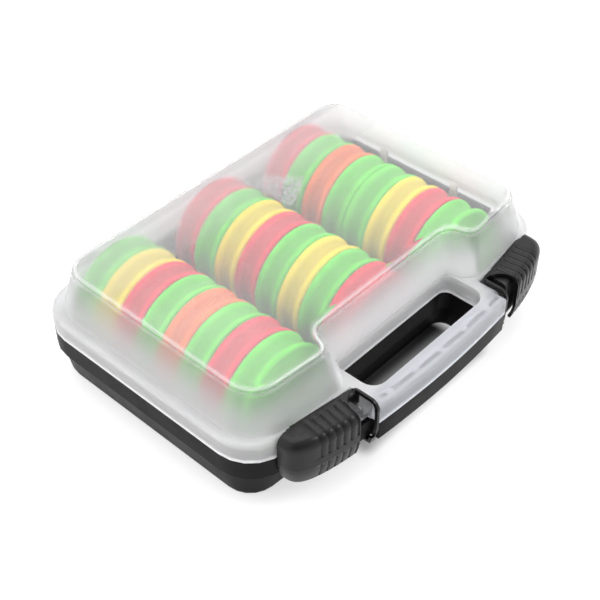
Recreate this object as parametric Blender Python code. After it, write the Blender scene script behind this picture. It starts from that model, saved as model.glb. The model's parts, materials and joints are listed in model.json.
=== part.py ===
"""Rig winder box: a shallow carrying case of black and frosted polypropylene that holds
three rows of foam rig winders. Metres, +Z up, hinge at +Y, handle at -Y, origin on the
surface it stands on, at the middle of its outline."""

import math

import bmesh
import bpy
from mathutils import Matrix, Vector

# Foam winders
WINDER_DIAMETER = 0.065
WINDER_THICKNESS = 0.0168
WINDER_GROOVE_DEPTH = 0.0022
WINDER_EDGE_RADIUS = 0.0014
ROW_GAP = 0.013
ROW_REAR_GAP = 0.013
ROW_FRONT_ROOM = 0.0252
ROW_SIDE_ROOM = 0.0195
ROW_HEAD_ROOM = 0.0055
ROW_STAGGERS = (0, 0.0004, 0.0003)

# Case outline and heights
RIM_CORNER_RADIUS = 0.025
HANDLE_REACH = 0.026
HINGE_REACH = 0.006
PARTING_HEIGHT = 0.034
SKIRT_HEIGHT = 0.0134
BASE_RIM_HEIGHT = 0.0125
WALL = 0.002
FLOOR = 0.0022
GAP = 0.0003
OVERRUN = 0.002
LEAST_RADIUS = 0.0006

# Lid crown
CROWN_SIDE_INSET = 0.0136
CROWN_REAR_INSET = 0.013
CROWN_SHOULDER_INSET = 0.012
CROWN_SHOULDER_SLANT = 0.0045
CROWN_CORNER_RADIUS = 0.017
CROWN_DRAFT = 0.008
CROWN_EDGE_RADIUS = 0.004
FLANGE_EDGE_RADIUS = 0.003

# Handle recess and finger opening
RECESS_MARGIN = 0.0115
RECESS_DEPTH = 0.024
RECESS_TAPER = 0.003
RECESS_CORNER_RADIUS = 0.0105
RECESS_MOUTH_RADIUS = 0.0085
OPENING_WIDTH = 0.101
OPENING_REAR_RADIUS = 0.006
OPENING_FRONT_RADIUS = 0.009
HANDLE_ARM_WIDTH = 0.0067
HANDLE_BAR_THICKNESS = 0.012
HANDLE_CHANNEL_WIDTH = 0.007
STIFFENER_LENGTH = 0.014

# Front bow, a superellipse that the handle and the latches follow
BOW_SIDE_INSET = 0.018
BOW_ACROSS_POWER = 1.7
BOW_FORWARD_POWER = 3.7
SEAT_SIDE_INSET = 0.0075
SEAT_FRONT_INSET = 0.0055
POCKET_SIDE_INSET = 0.0045

# Joint between the halves
TONGUE_HEIGHT = 0.0045
TONGUE_CLEARANCE = 0.0005
TAB_WIDTH = 0.005
TAB_DROP = 0.004
BASE_TAPER = 0.003
BASE_FOOT_RADIUS = 0.0035

# Cradle ribs on the floor of the tray
CRADLE_SIDE_INSET = 0.0105
CRADLE_THICKNESS = 0.0022
CRADLE_CLEARANCE = 0.0005
CRADLE_END_GAP = 0.010

# Hinge
HINGE_SIDE_INSET = 0.067
HINGE_LENGTH = 0.036
HINGE_PIN_RADIUS = 0.00125

# Standing feet on the back of the lid
FOOT_SIDE_INSET = 0.042
FOOT_WIDTH = 0.012
FOOT_HEIGHT = 0.0115
FOOT_REACH = 0.0025
FOOT_CORNER_RADIUS = 0.004
FOOT_EDGE_RADIUS = 0.003

# Latches
LATCH_WALL = 0.0026
LATCH_LIP = 0.0045
LATCH_TOP_RISE = 0.0031
LATCH_BOTTOM_DROP = 0.0025
LATCH_CHIN_HEIGHT = 0.009
LATCH_CHIN_INSET = 0.0025
LATCH_EDGE_RADIUS = 0.006
LATCH_INNER_INSET = 0.0008
LATCH_OUTER_INSET = 0.007
LATCH_INNER_SET_FORWARD = 0.0042
LATCH_OUTER_SET_BACK = 0.0022
INNER_KNUCKLE_LENGTH = 0.0095
BARREL_RADIUS = 0.0024
BARREL_SET_DOWN = 0.0002
TRUNNION_RADIUS = 0.0011
EAR_WIDTH = 0.0022
END_BAND = 0.002
WINDOW_REAR_WIDTH = 0.0042
WINDOW_FRONT_WIDTH = 0.0116
WINDOW_REAR_WALL = 0.0022
GRIP_WIDTH = 0.0012
GRIP_DEPTH = 0.0007
GRIP_REAR_MARGIN = 0.0027
GRIP_BREAK_START = 0.002
GRIP_BREAK_END = 0.0065

# Padlock eyes behind the latch windows
EYE_WIDTH = 0.0076
EYE_LENGTH = 0.0115
EYE_SIDE_SHIFT = 0.0021
EYE_THICKNESS = 0.003
EYE_DROP = 0.0065
EYE_HOLE_RADIUS = 0.0019

# Bag of rig pins
BAG_WIDTH = 0.028
BAG_LENGTH = 0.032
BAG_THICKNESS = 0.0044
BAG_MIDDLE_ABOVE_FOAM = 0.0011
BAG_TURN = 20
BAG_FROM_REAR = 0.034
BAG_FROM_VALLEY = 0.0035
BAG_REST_SPREAD = 0.014

# Shares of the distance along each stretch of outline
SEAT_SHARES = (0.995, 0.97, 0.92, 0.84, 0.72, 0.58, 0.42, 0.24, 0)
HANDLE_SHARES = (1, 0.75, 0.5, 0.25, 0)
STRIP_SHARES = (0, 0.25, 0.5, 0.75, 1)
LATCH_SHARES = (1, 0.997, 0.985, 0.96, 0.92, 0.86, 0.78, 0.68, 0.56, 0.42, 0.28, 0.14, 0)
GRIP_SHARES = (0.249, 0.355, 0.458, 0.557, 0.664, 0.766)
STIFFENER_SHARES = (-0.76, -0.38, 0, 0.38, 0.76)
TAB_SHARES = (0.25, -0.08)
BAG_GRID_SHARES = (-1, -0.7, -0.35, 0, 0.35, 0.7, 1)
WINDER_GROOVE_SHARE = 0.32

# Foam colours of each row, from the hinge to the handle
ROW_COLOURS = {
    "left": ("green", "yellow", "pink", "green", "orange", "green", "pink", "green"),
    "middle": ("pink", "green", "yellow", "pink", "green", "yellow", "green", "pink"),
    "right": ("pink", "green", "orange", "green", "green", "yellow", "pink", "green"),
}

# Worked out from the sizes above: the case follows its winders
WINDER_PITCH = WINDER_THICKNESS + GAP
WINDER_AXIS_HEIGHT = FLOOR + GAP + WINDER_DIAMETER / 2
ROW_PITCH = WINDER_DIAMETER + ROW_GAP
RIM_WIDTH = len(ROW_COLOURS) * WINDER_DIAMETER + (len(ROW_COLOURS) - 1) * ROW_GAP + 2 * ROW_SIDE_ROOM
RIM_DEPTH = ROW_REAR_GAP + len(ROW_COLOURS["left"]) * WINDER_PITCH + ROW_FRONT_ROOM
CASE_HEIGHT = FLOOR + GAP + WINDER_DIAMETER + ROW_HEAD_ROOM + WALL
LEDGE_HEIGHT = PARTING_HEIGHT + SKIRT_HEIGHT
CROWN_WIDTH = RIM_WIDTH - 2 * CROWN_SIDE_INSET
RECESS_WIDTH = OPENING_WIDTH + 2 * RECESS_MARGIN
HANDLE_WIDTH = OPENING_WIDTH + 2 * HANDLE_ARM_WIDTH
BOW_HALF_WIDTH = RIM_WIDTH / 2 - BOW_SIDE_INSET
SEAT_HALF_WIDTH = BOW_HALF_WIDTH - SEAT_SIDE_INSET
SEAT_REACH = HANDLE_REACH - SEAT_FRONT_INSET
POCKET_HALF_WIDTH = SEAT_HALF_WIDTH - POCKET_SIDE_INSET
CRADLE_SPREAD = WINDER_DIAMETER - 2 * CRADLE_SIDE_INSET
HINGE_SPACING = RIM_WIDTH - 2 * HINGE_SIDE_INSET
FOOT_SPACING = RIM_WIDTH - 2 * FOOT_SIDE_INSET
OVERALL_DEPTH = RIM_DEPTH + HANDLE_REACH + HINGE_REACH
REAR = OVERALL_DEPTH / 2 - HINGE_REACH
SHOULDER = REAR - RIM_DEPTH
FRONT = SHOULDER - HANDLE_REACH
CROWN_REAR = REAR - CROWN_REAR_INSET
CROWN_FRONT = SHOULDER + CROWN_SHOULDER_INSET
RECESS_WALL = SHOULDER + RECESS_DEPTH
OPENING_REAR = RECESS_WALL - CROWN_DRAFT - GAP
OPENING_FRONT = FRONT + HANDLE_BAR_THICKNESS
KNUCKLE_RADIUS = (HINGE_REACH - GAP) / 2
HINGE_Y = REAR + GAP + KNUCKLE_RADIUS
LID_BOTTOM = PARTING_HEIGHT + GAP / 2
BASE_TOP = PARTING_HEIGHT - GAP / 2
BASE_RIM_BOTTOM = PARTING_HEIGHT - BASE_RIM_HEIGHT
LATCH_TOP = LEDGE_HEIGHT + LATCH_TOP_RISE
LATCH_BOTTOM = BASE_RIM_BOTTOM - LATCH_BOTTOM_DROP
LATCH_REAR_INNER = (HANDLE_WIDTH / 2 + LATCH_INNER_INSET, SHOULDER - LATCH_INNER_SET_FORWARD)
LATCH_REAR_OUTER = (BOW_HALF_WIDTH - LATCH_OUTER_INSET, SHOULDER + LATCH_OUTER_SET_BACK)
WINDOW_START = HANDLE_WIDTH / 2 + GAP + END_BAND
ARC_STEPS = 5
FILLET_STEPS = 3
ROUND_SIDES = 20

COLOURS = {
    "black_pp": ((0.018, 0.018, 0.019, 1), 0.42),
    "frosted_pp": ((0.74, 0.76, 0.75, 1), 0.45),
    "steel": ((0.55, 0.55, 0.56, 1), 0.3),
    "foam_green": ((0.10, 0.62, 0.10, 1), 0.85),
    "foam_yellow": ((0.93, 0.72, 0.02, 1), 0.85),
    "foam_pink": ((0.82, 0.03, 0.15, 1), 0.85),
    "foam_orange": ((0.95, 0.20, 0.05, 1), 0.85),
    "clear_film": ((0.62, 0.64, 0.66, 1), 0.25),
}


def material(name):
    """The plain material of this name, made once."""
    found = bpy.data.materials.get(name)
    if found:
        return found
    colour, roughness = COLOURS[name]
    found = bpy.data.materials.new(name)
    found.use_nodes = True
    shader = found.node_tree.nodes["Principled BSDF"]
    shader.inputs["Base Color"].default_value = colour
    shader.inputs["Roughness"].default_value = roughness
    shader.inputs["Metallic"].default_value = 1.0 if name == "steel" else 0.0
    found.diffuse_color = colour
    return found


def piece(name, shape, finish):
    """Turn a bmesh into a named object of one material."""
    data = bpy.data.meshes.new(name)
    shape.to_mesh(data)
    shape.free()
    data.materials.append(material(finish))
    made = bpy.data.objects.new(name, data)
    bpy.context.scene.collection.objects.link(made)
    return made


def soften(made):
    """Shade a finished piece smooth, with its real edges kept sharp."""
    made.data.shade_smooth()
    made.data.set_sharp_from_angle(angle=math.radians(35))
    return made


def combine(body, operation, shapes):
    """Apply one Boolean step after another to a piece, and drop the tools."""
    for shape in shapes:
        data = bpy.data.meshes.new("tool")
        shape.to_mesh(data)
        shape.free()
        tool = bpy.data.objects.new("tool", data)
        bpy.context.scene.collection.objects.link(tool)
        step = body.modifiers.new("step", "BOOLEAN")
        step.operation = operation
        step.solver = "EXACT"
        step.object = tool
        with bpy.context.temp_override(object=body, active_object=body):
            bpy.ops.object.modifier_apply(modifier=step.name)
        bpy.data.objects.remove(tool, do_unlink=True)


def hang(made, parent):
    """Parent an object without moving it."""
    made.parent = parent
    made.matrix_parent_inverse = parent.matrix_world.inverted()
    bpy.context.view_layer.update()


def pivot(name, location, parent=None):
    """An empty on a joint's axis, which carries the pieces that move with it."""
    empty = bpy.data.objects.new(name, None)
    empty.location = location
    bpy.context.scene.collection.objects.link(empty)
    bpy.context.view_layer.update()
    if parent:
        hang(empty, parent)
    return empty


def rounded(corners):
    """Points along an outline of (x, y, radius) corners, each corner drawn as an arc."""
    points = []
    count = len(corners)
    for i, (x, y, radius) in enumerate(corners):
        here = Vector((x, y))
        if not radius:
            points.append(here)
            continue
        back = (Vector(corners[i - 1][:2]) - here).normalized()
        ahead = (Vector(corners[(i + 1) % count][:2]) - here).normalized()
        half = back.angle(ahead) / 2
        reach = radius / math.tan(half)
        centre = here + (back + ahead).normalized() * (radius / math.sin(half))
        start = here + back * reach - centre
        turn = start.angle_signed(here + ahead * reach - centre)
        for step in range(ARC_STEPS + 1):
            points.append(centre + Matrix.Rotation(-turn * step / ARC_STEPS, 2) @ start)
    return points


def mirrored(half):
    """A closed outline from its right half."""
    return half + [Vector((-p.x, p.y)) for p in reversed(half) if p.x > 0]


def fillet(radius):
    """Pairs of inset and drop along a quarter round, from its foot to its top."""
    pairs = []
    for step in range(FILLET_STEPS + 1):
        angle = math.radians(90) * step / FILLET_STEPS
        pairs.append((radius * (1 - math.cos(angle)), radius * (1 - math.sin(angle))))
    return pairs


def bow(x, half_width=BOW_HALF_WIDTH, reach=HANDLE_REACH):
    """Where the front bow stands at this distance from the centre line."""
    across = min(abs(x) / half_width, 1)
    return SHOULDER - reach * (1 - across**BOW_ACROSS_POWER) ** (1 / BOW_FORWARD_POWER)


def seat(x):
    """Where the front of both halves stands under a latch."""
    return bow(x, SEAT_HALF_WIDTH, SEAT_REACH)


def shoulder_line(x):
    """Where the inner wall of the shoulders stands, parallel to the crown above it."""
    along = (x - OPENING_WIDTH / 2) / (RIM_WIDTH / 2 - OPENING_WIDTH / 2)
    return CROWN_FRONT - CROWN_DRAFT + WALL / 2 - CROWN_SHOULDER_SLANT * (1 - along)


def rim_outline(inset=0):
    """The outline both halves share at the parting line: body, latch seats and handle."""
    side = RIM_WIDTH / 2 - inset
    radius = RIM_CORNER_RADIUS - inset
    half = rounded(
        [
            (0, REAR - inset, 0),
            (side, REAR - inset, radius),
            (side, SHOULDER + inset, radius),
            (0, SHOULDER + inset, 0),
        ]
    )[1:-1]
    handle = HANDLE_WIDTH / 2 - inset
    for share in SEAT_SHARES:
        x = handle + (SEAT_HALF_WIDTH - inset - handle) * share
        half.append(Vector((x, seat(x) + inset)))
    for share in HANDLE_SHARES:
        x = handle * share
        half.append(Vector((x, bow(x) + inset)))
    return mirrored(half)


def crown_outline(spread):
    """The crown's outline where its draft has spread it this far beyond its top."""
    side = CROWN_WIDTH / 2 + spread
    mouth = RECESS_WIDTH / 2 - spread
    mouth_front = CROWN_FRONT - CROWN_SHOULDER_SLANT - spread
    half = rounded(
        [
            (0, CROWN_REAR + spread, 0),
            (side, CROWN_REAR + spread, CROWN_CORNER_RADIUS + spread),
            (side, CROWN_FRONT - spread, CROWN_CORNER_RADIUS + spread),
            (mouth, mouth_front, RECESS_MOUTH_RADIUS + spread / 2),
            (mouth - RECESS_TAPER, RECESS_WALL - spread, RECESS_CORNER_RADIUS - max(spread, 0)),
            (0, RECESS_WALL - spread, 0),
        ]
    )[1:-1]
    return mirrored(half)


def hollow_outline(inset=0):
    """The inside of the lid's skirt; the tray's walls follow it at an inset."""
    side = RIM_WIDTH / 2 - WALL - inset
    rear = REAR - WALL - inset
    recess = OPENING_WIDTH / 2 + WALL + GAP + inset
    recess_wall = OPENING_REAR + WALL + inset
    half = rounded(
        [
            (0, rear, 0),
            (side, rear, RIM_CORNER_RADIUS - WALL - inset),
            (side, shoulder_line(side) + inset, RIM_CORNER_RADIUS - 2 * WALL - inset),
            (recess, shoulder_line(recess) + inset, max(2 * WALL - inset, LEAST_RADIUS)),
            (recess, recess_wall, 2 * WALL + inset),
            (0, recess_wall, 0),
        ]
    )[1:-1]
    return mirrored(half)


def opening_outline():
    """The finger opening that goes through both halves."""
    side = OPENING_WIDTH / 2
    half = rounded(
        [
            (0, OPENING_REAR, 0),
            (side, OPENING_REAR, OPENING_REAR_RADIUS),
            (side, OPENING_FRONT, OPENING_FRONT_RADIUS),
            (0, OPENING_FRONT, 0),
        ]
    )[1:-1]
    return mirrored(half)


def strip_outline(start, end, front, rear):
    """An outline between two curves y(x), from one x to another."""
    xs = [start + (end - start) * share for share in STRIP_SHARES]
    return [Vector((x, front(x))) for x in xs] + [Vector((x, rear(x))) for x in reversed(xs)]


def channel_outline():
    """The hollow inside the handle bar, in both halves."""
    skin = (HANDLE_BAR_THICKNESS - HANDLE_CHANNEL_WIDTH) / 2
    half = [Vector((HANDLE_WIDTH / 2 - 2 * WALL, OPENING_FRONT - skin))]
    for share in HANDLE_SHARES:
        x = (HANDLE_WIDTH / 2 - 2 * WALL) * share
        half.append(Vector((x, bow(x) + skin)))
    return mirrored(half)


def pocket_outline():
    """The hollow in the right shoulder, under the latch, in both halves."""
    return strip_outline(
        WINDOW_START + EYE_SIDE_SHIFT + EYE_WIDTH / 2 + 2 * WALL,
        POCKET_HALF_WIDTH,
        lambda x: seat(x) + WALL,
        lambda x: shoulder_line(x) - WALL,
    )


def lofted(sections):
    """A closed shape through sections, each a list of (x, y) points and a height."""
    shape = bmesh.new()
    rings = [[shape.verts.new((p.x, p.y, z)) for p in points] for points, z in sections]
    shape.faces.new(rings[0])
    shape.faces.new(rings[-1])
    for low, high in zip(rings, rings[1:]):
        for i in range(len(low)):
            j = (i + 1) % len(low)
            shape.faces.new((low[i], low[j], high[j], high[i]))
    bmesh.ops.connect_verts_nonplanar(shape, angle_limit=math.radians(0.1), faces=shape.faces)
    bmesh.ops.recalc_face_normals(shape, faces=shape.faces)
    return shape


def block(low, high):
    """A closed box between two corners."""
    shape = bmesh.new()
    bmesh.ops.create_cube(shape, size=1)
    bmesh.ops.scale(shape, vec=Vector(high) - Vector(low), verts=shape.verts)
    bmesh.ops.translate(shape, vec=(Vector(high) + Vector(low)) / 2, verts=shape.verts)
    return shape


def rod(start, end, radius):
    """A closed cylinder between two points."""
    start, end = Vector(start), Vector(end)
    shape = bmesh.new()
    bmesh.ops.create_cone(
        shape,
        cap_ends=True,
        segments=ROUND_SIDES,
        radius1=radius,
        radius2=radius,
        depth=(end - start).length,
    )
    turn = Vector((0, 0, 1)).rotation_difference(end - start).to_matrix().to_4x4()
    bmesh.ops.transform(shape, matrix=Matrix.Translation((start + end) / 2) @ turn, verts=shape.verts)
    return shape


def mirror_shape(shape):
    """The same shape on the other side of the centre line."""
    bmesh.ops.scale(shape, vec=(-1, 1, 1), verts=shape.verts)
    bmesh.ops.reverse_faces(shape, faces=shape.faces)
    return shape


def both_sides(*makers):
    """Each maker's shape for the right side, and its mirror image for the left."""
    shapes = []
    for make in makers:
        shapes += [make(), mirror_shape(make())]
    return shapes


def hinge_spans(lid_part):
    """The X spans of one half's knuckles: the tray has the outer two of each hinge."""
    third = HINGE_LENGTH / 3
    spans = []
    for side in (-1, 1):
        start = side * HINGE_SPACING / 2 - HINGE_LENGTH / 2
        for number in (1,) if lid_part else (0, 2):
            low = start + third * number + GAP / 2
            spans.append((low, low + third - GAP))
    return spans


def knuckles(lid_part):
    """Hinge knuckles, and the arms that join them to the rim."""
    shapes = []
    for low, high in hinge_spans(lid_part):
        axis = [(x, HINGE_Y, PARTING_HEIGHT) for x in (low, high)]
        shapes.append(rod(*axis, KNUCKLE_RADIUS))
        depth = KNUCKLE_RADIUS - GAP
        bottom = LID_BOTTOM if lid_part else PARTING_HEIGHT - depth
        top = PARTING_HEIGHT + depth if lid_part else BASE_TOP
        shapes.append(block((low + GAP, REAR - WALL / 2, bottom), (high - GAP, HINGE_Y, top)))
    return shapes


def hinge_rod(side, length, radius):
    """A cylinder on the hinge axis, centred on one hinge."""
    middle = side * HINGE_SPACING / 2
    ends = [(middle + end * length / 2, HINGE_Y, PARTING_HEIGHT) for end in (-1, 1)]
    return rod(*ends, radius)


def hinge_bores():
    """The bores through the knuckles."""
    length = HINGE_LENGTH + 2 * OVERRUN
    return [hinge_rod(side, length, HINGE_PIN_RADIUS + GAP) for side in (-1, 1)]


def base_tray():
    """The black tray: walls, rim band, tongue, lower half of the handle, cradle ribs."""
    outside = []
    for inset, drop in reversed(fillet(BASE_FOOT_RADIUS)):
        outside.append((hollow_outline(TONGUE_CLEARANCE + BASE_TAPER + inset), drop))
    straight = hollow_outline(TONGUE_CLEARANCE)
    outside += [(straight, BASE_RIM_BOTTOM), (straight, PARTING_HEIGHT + TONGUE_HEIGHT)]
    body = piece("base_tray", lofted(outside), "black_pp")

    rim = rim_outline()
    combine(body, "UNION", [lofted([(rim, BASE_RIM_BOTTOM), (rim, BASE_TOP)])] + knuckles(False))

    inner = hollow_outline(TONGUE_CLEARANCE + WALL)
    inside = lofted(
        [
            (hollow_outline(TONGUE_CLEARANCE + BASE_TAPER + WALL), FLOOR),
            (inner, BASE_RIM_BOTTOM),
            (inner, CASE_HEIGHT),
        ]
    )
    opening = lofted([(opening_outline(), -OVERRUN), (opening_outline(), CASE_HEIGHT)])
    channel = lofted([(channel_outline(), BASE_RIM_BOTTOM + WALL), (channel_outline(), CASE_HEIGHT)])
    pockets = both_sides(
        lambda: lofted([(pocket_outline(), BASE_RIM_BOTTOM + WALL), (pocket_outline(), CASE_HEIGHT)])
    )
    combine(body, "DIFFERENCE", [inside, opening, channel] + pockets + hinge_bores())

    # Ribs along the floor keep each row of winders from rolling
    ribs = []
    radius = WINDER_DIAMETER / 2 + CRADLE_CLEARANCE
    top = WINDER_AXIS_HEIGHT - math.sqrt(radius**2 - (CRADLE_SPREAD / 2 - CRADLE_THICKNESS / 2) ** 2)
    rear = REAR - ROW_REAR_GAP - CRADLE_END_GAP
    front = REAR - ROW_REAR_GAP - len(ROW_COLOURS["left"]) * WINDER_PITCH + CRADLE_END_GAP
    for row in (-1, 0, 1):
        for side in (-1, 1):
            x = row * ROW_PITCH + side * CRADLE_SPREAD / 2
            low = (x - CRADLE_THICKNESS / 2, front, FLOOR / 2)
            ribs.append(block(low, (x + CRADLE_THICKNESS / 2, rear, top)))

    # Stiffeners stand up from the lower half of the handle into the upper half
    skin = (HANDLE_BAR_THICKNESS - HANDLE_CHANNEL_WIDTH) / 2 + 2 * GAP
    for share in STIFFENER_SHARES:
        middle = share * HANDLE_WIDTH / 2
        outline = strip_outline(
            middle - STIFFENER_LENGTH / 2,
            middle + STIFFENER_LENGTH / 2,
            lambda x: bow(x) + skin,
            lambda x: bow(x) + skin + WALL,
        )
        top = LEDGE_HEIGHT - 2 * WALL
        ribs.append(lofted([(outline, BASE_RIM_BOTTOM + WALL / 2), (outline, top)]))
    combine(body, "UNION", ribs)
    return soften(body)


def latch_axis():
    """The right latch's pivot line: its inner end, and unit vectors along and forward."""
    along = (Vector(LATCH_REAR_OUTER) - Vector(LATCH_REAR_INNER)).normalized()
    forward = Vector((along.y, -along.x))
    inner = Vector(LATCH_REAR_INNER) + forward * BARREL_RADIUS
    height = LATCH_TOP - BARREL_RADIUS - BARREL_SET_DOWN
    return inner.to_3d() + Vector((0, 0, height)), along.to_3d(), forward.to_3d()


def latch_length():
    """How long the latch's straight rear edge is."""
    return (Vector(LATCH_REAR_OUTER) - Vector(LATCH_REAR_INNER)).length


def barrel_span():
    """Where the main barrel begins and ends along its axis."""
    return INNER_KNUCKLE_LENGTH + EAR_WIDTH + 3 * GAP, latch_length() - 2 * EAR_WIDTH


def axis_rod(start, end, radius, drop=0):
    """A cylinder on the right latch's axis, between two distances along it."""
    inner, along, _ = latch_axis()
    inner = inner - Vector((0, 0, drop))
    return rod(inner + along * start, inner + along * end, radius)


def eye_block(bottom, top):
    """A box over the padlock eye's plan, to be cut away above and below it."""
    middle = WINDOW_START + EYE_SIDE_SHIFT
    half = EYE_WIDTH / 2
    front = bow(middle) - OVERRUN
    return block((middle - half, front, bottom), (middle + half, seat(middle) + EYE_LENGTH, top))


def eye_hole():
    """The hole through the padlock eye."""
    middle = WINDOW_START + EYE_SIDE_SHIFT
    y = seat(middle) + EYE_LENGTH / 2
    return rod((middle, y, LID_BOTTOM), (middle, y, LATCH_TOP), EYE_HOLE_RADIUS)


def foot_outline(side, inset=0):
    """The plan of one standing foot, from the crown's wall out over the ledge."""
    x = side * FOOT_SPACING / 2
    half = FOOT_WIDTH / 2 - inset
    rear = REAR + FOOT_REACH - inset
    radius = FOOT_CORNER_RADIUS - inset
    return rounded(
        [
            (x - half, CROWN_REAR, 0),
            (x - half, rear, radius),
            (x + half, rear, radius),
            (x + half, CROWN_REAR, 0),
        ]
    )


def lid_cover():
    """The frosted lid: crown, ledge, skirt, upper half of the handle, feet, latch seats."""
    draft = CROWN_DRAFT / (CASE_HEIGHT - LEDGE_HEIGHT)

    def crown_at(height, inset=0):
        return crown_outline(draft * (CASE_HEIGHT - height) - inset), height

    outside = [crown_at(LEDGE_HEIGHT - WALL / 2)]
    outside += [crown_at(CASE_HEIGHT - drop, inset) for inset, drop in fillet(CROWN_EDGE_RADIUS)]
    body = piece("lid_cover", lofted(outside), "frosted_pp")

    skirt = [(rim_outline(), LID_BOTTOM)]
    skirt += [(rim_outline(inset), LEDGE_HEIGHT - drop) for inset, drop in fillet(FLANGE_EDGE_RADIUS)]
    feet = []
    for side in (-1, 1):
        foot = [(foot_outline(side), LEDGE_HEIGHT - WALL / 2)]
        for inset, drop in fillet(FOOT_EDGE_RADIUS):
            foot.append((foot_outline(side, inset), LEDGE_HEIGHT + FOOT_HEIGHT - drop))
        feet.append(lofted(foot))
    combine(body, "UNION", [lofted(skirt)] + feet + knuckles(True))

    below = lofted([(hollow_outline(), PARTING_HEIGHT - OVERRUN), (hollow_outline(), LEDGE_HEIGHT - WALL)])
    inside = [crown_at(LEDGE_HEIGHT - WALL - GAP, WALL)]
    inside += [
        crown_at(CASE_HEIGHT - WALL - drop, WALL + inset)
        for inset, drop in fillet(CROWN_EDGE_RADIUS - WALL)
    ]
    opening = lofted([(opening_outline(), -OVERRUN), (opening_outline(), CASE_HEIGHT)])
    channel_top = LEDGE_HEIGHT - WALL
    channel = lofted([(channel_outline(), PARTING_HEIGHT - OVERRUN), (channel_outline(), channel_top)])
    combine(body, "DIFFERENCE", [below, lofted(inside), opening, channel] + hinge_bores())

    # Pockets in the shoulders, troughs for the latch barrels, and the padlock eyes
    start, end = barrel_span()
    eye_top = LEDGE_HEIGHT - EYE_DROP
    pocket_top = LEDGE_HEIGHT - 2 * WALL
    cuts = both_sides(
        lambda: lofted([(pocket_outline(), PARTING_HEIGHT - OVERRUN), (pocket_outline(), pocket_top)]),
        lambda: axis_rod(-LATCH_INNER_INSET, end + GAP, BARREL_RADIUS + GAP),
        lambda: eye_block(eye_top, LATCH_TOP),
        lambda: eye_block(PARTING_HEIGHT - OVERRUN, eye_top - EYE_THICKNESS),
        eye_hole,
    )
    combine(body, "DIFFERENCE", cuts)

    # Ears that carry the latches, and the tabs that locate the lid in the tray
    radius = BARREL_RADIUS - GAP
    middles = [start - 3 * GAP / 2 - EAR_WIDTH / 2, end + 3 * GAP / 2 + EAR_WIDTH / 2]
    ears = []
    for middle in middles:
        half = EAR_WIDTH / 2
        ears += both_sides(
            lambda: axis_rod(middle - half, middle + half, radius),
            lambda: axis_rod(middle - half + GAP / 2, middle + half - GAP / 2, radius, BARREL_RADIUS),
        )
    tabs = []
    wall_foot = CROWN_WIDTH / 2 + CROWN_DRAFT - WALL / 2
    for side in (-1, 1):
        for share in TAB_SHARES:
            xs = sorted((side * (wall_foot - WALL), side * wall_foot))
            y = share * RIM_DEPTH
            low = (xs[0], y - TAB_WIDTH / 2, PARTING_HEIGHT - TAB_DROP)
            tabs.append(block(low, (xs[1], y + TAB_WIDTH / 2, LEDGE_HEIGHT + WALL)))
    combine(body, "UNION", ears + tabs)
    reach = EAR_WIDTH + 2 * GAP
    sockets = both_sides(lambda: axis_rod(start - reach, end + reach, TRUNNION_RADIUS + GAP))
    combine(body, "DIFFERENCE", sockets)
    return soften(body)


def latch_plan(inset=0, open_rear=0, open_end=0):
    """The right latch's plan, with its front moved in and its rear or inner end opened."""
    inner, along, forward = latch_axis()
    start, end = barrel_span()
    clear = forward * (BARREL_RADIUS + GAP)
    back = forward * -open_rear
    end_x = HANDLE_WIDTH / 2 + GAP - open_end
    half_width = BOW_HALF_WIDTH - inset
    points = [(inner + back).to_2d()]
    points[0].x = end_x
    if open_rear:
        points.append(Vector((half_width, SHOULDER + open_rear)))
    else:
        past_ear = end + EAR_WIDTH + 3 * GAP
        for near, far in ((INNER_KNUCKLE_LENGTH, start), (end, past_ear)):
            for distance, step in ((near, back), (near, clear), (far, clear), (far, back)):
                points.append((inner + along * distance + step).to_2d())
        points.append((inner + along * latch_length() + back).to_2d())
    for share in LATCH_SHARES:
        x = end_x + (half_width - end_x) * share
        points.append(Vector((x, bow(x, half_width, HANDLE_REACH - inset))))
    return points


def window_outline():
    """The plan of the window over the padlock eye, which widens towards the front."""
    front = FRONT - OVERRUN
    rear = LATCH_REAR_INNER[1] - WINDOW_REAR_WALL
    corners = [
        (WINDOW_START, front),
        (WINDOW_START + WINDOW_FRONT_WIDTH, front),
        (WINDOW_START + WINDOW_FRONT_WIDTH, FRONT + LATCH_EDGE_RADIUS),
        (WINDOW_START + WINDOW_REAR_WIDTH, rear),
        (WINDOW_START, rear),
    ]
    return [Vector(corner) for corner in corners]


def grip_cuts(share):
    """One grip groove: over the top and down the front, and again across the chin."""
    inner, along, forward = latch_axis()
    foot = inner + along * latch_length() * share
    front = foot.y - bow(foot.x)
    front = foot.y - bow(foot.x + forward.x * front)

    def bar(near, far):
        half = along * GRIP_WIDTH / 2
        corners = (forward * near - half, forward * near + half, forward * far + half, forward * far - half)
        return [(foot + corner).to_2d() for corner in corners]

    past = front + OVERRUN
    deep = front - GRIP_DEPTH
    crease = LATCH_BOTTOM + LATCH_CHIN_HEIGHT
    top = [(bar(GRIP_REAR_MARGIN - BARREL_RADIUS, past), LATCH_TOP + rise) for rise in (-GRIP_DEPTH, OVERRUN)]
    down = [(bar(deep, past), height) for height in (crease + GRIP_BREAK_END, LATCH_TOP + GAP)]
    chin = [
        (bar(deep - LATCH_CHIN_INSET, past), LATCH_BOTTOM + GRIP_DEPTH),
        (bar(deep, past), crease),
        (bar(deep, past), crease + GRIP_BREAK_START),
    ]
    return [lofted(top), lofted(down), lofted(chin)]


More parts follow.
